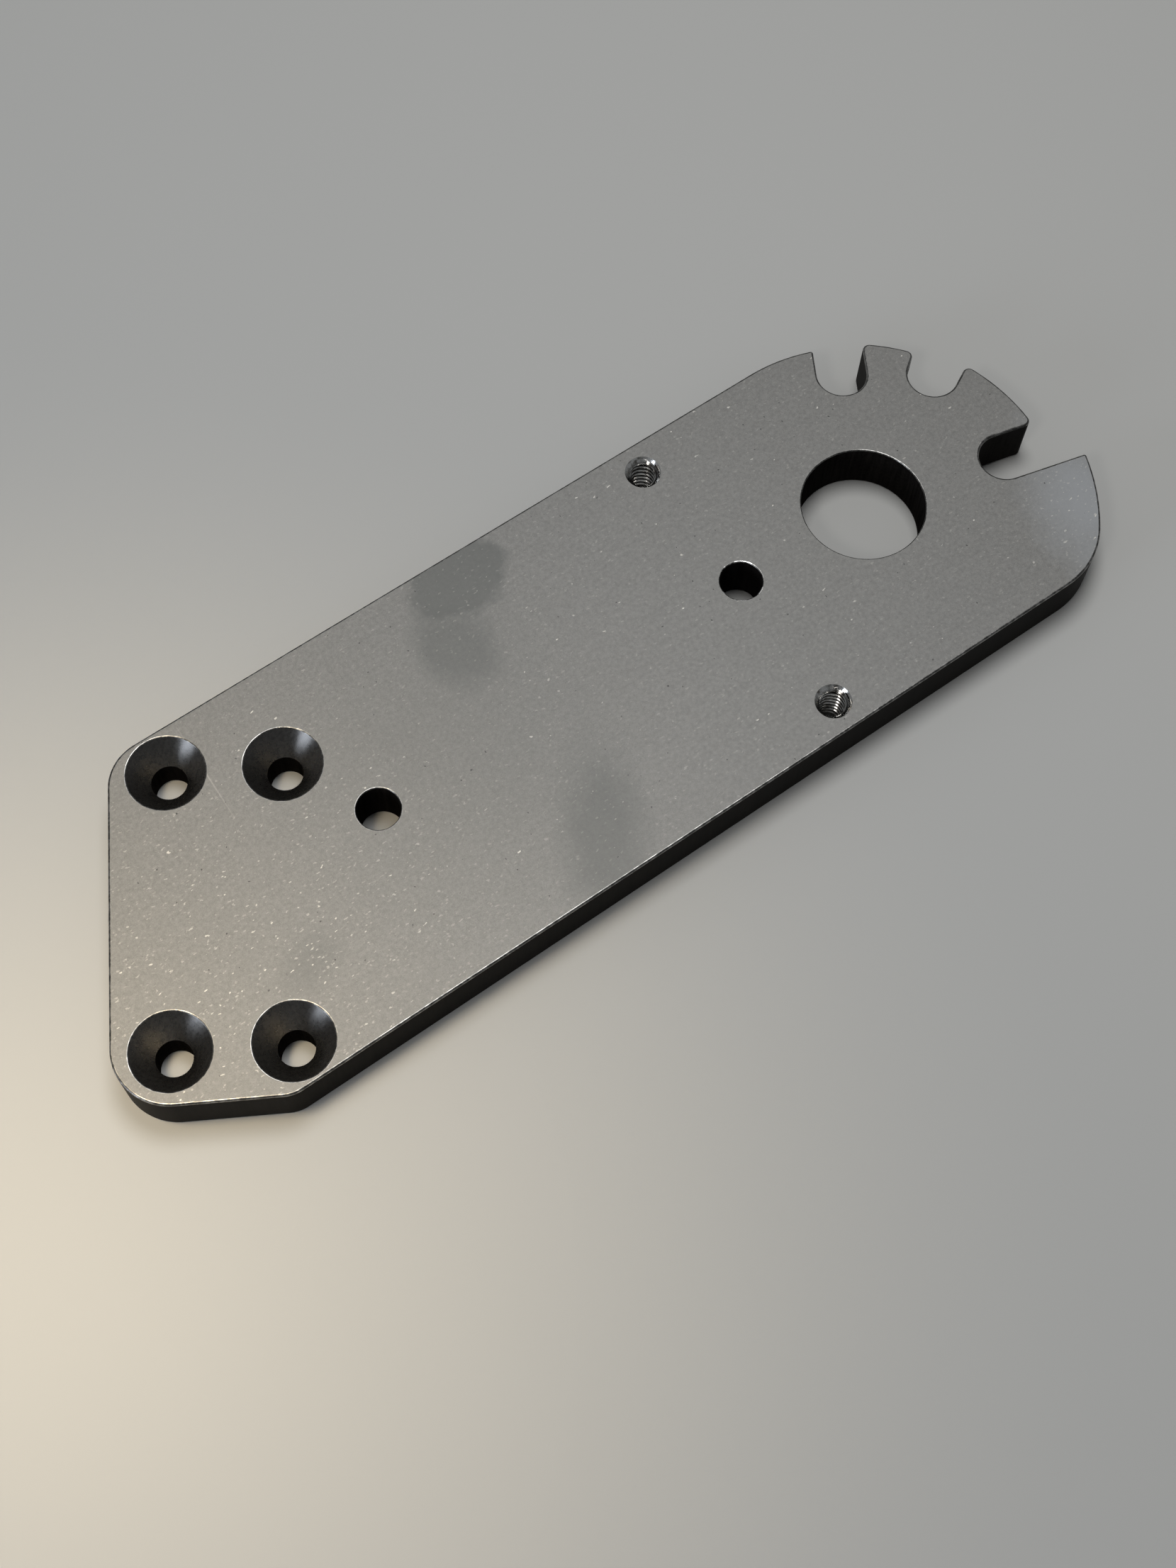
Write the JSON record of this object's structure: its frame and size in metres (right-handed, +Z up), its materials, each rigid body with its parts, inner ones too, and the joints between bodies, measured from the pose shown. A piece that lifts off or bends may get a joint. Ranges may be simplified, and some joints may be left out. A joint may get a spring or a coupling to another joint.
{
  "type": "notched index plate",
  "caption": "Flat machined aluminium plate with a large pivot bore, a stepped nose cut with radial index notches, and a slanted tail with countersunk screw holes.",
  "frame": {"origin": "axis of the large pivot bore, on the underside (the plain face opposite the countersinks)", "axes": "+Z up out of the face with the countersinks, +X along the plate's centre line from the slanted tail to the notched nose"},
  "size_m": [0.2294, 0.0762, 0.0117],
  "materials": {
    "anodised_plate": "bead-blasted and hard anodised, satin dark grey",
    "bare_thread": "bare machined metal in the tapped holes"
  },
  "bodies": {
    "root": {"index_plate": "anodised_plate"}
  },
  "joints": []
}
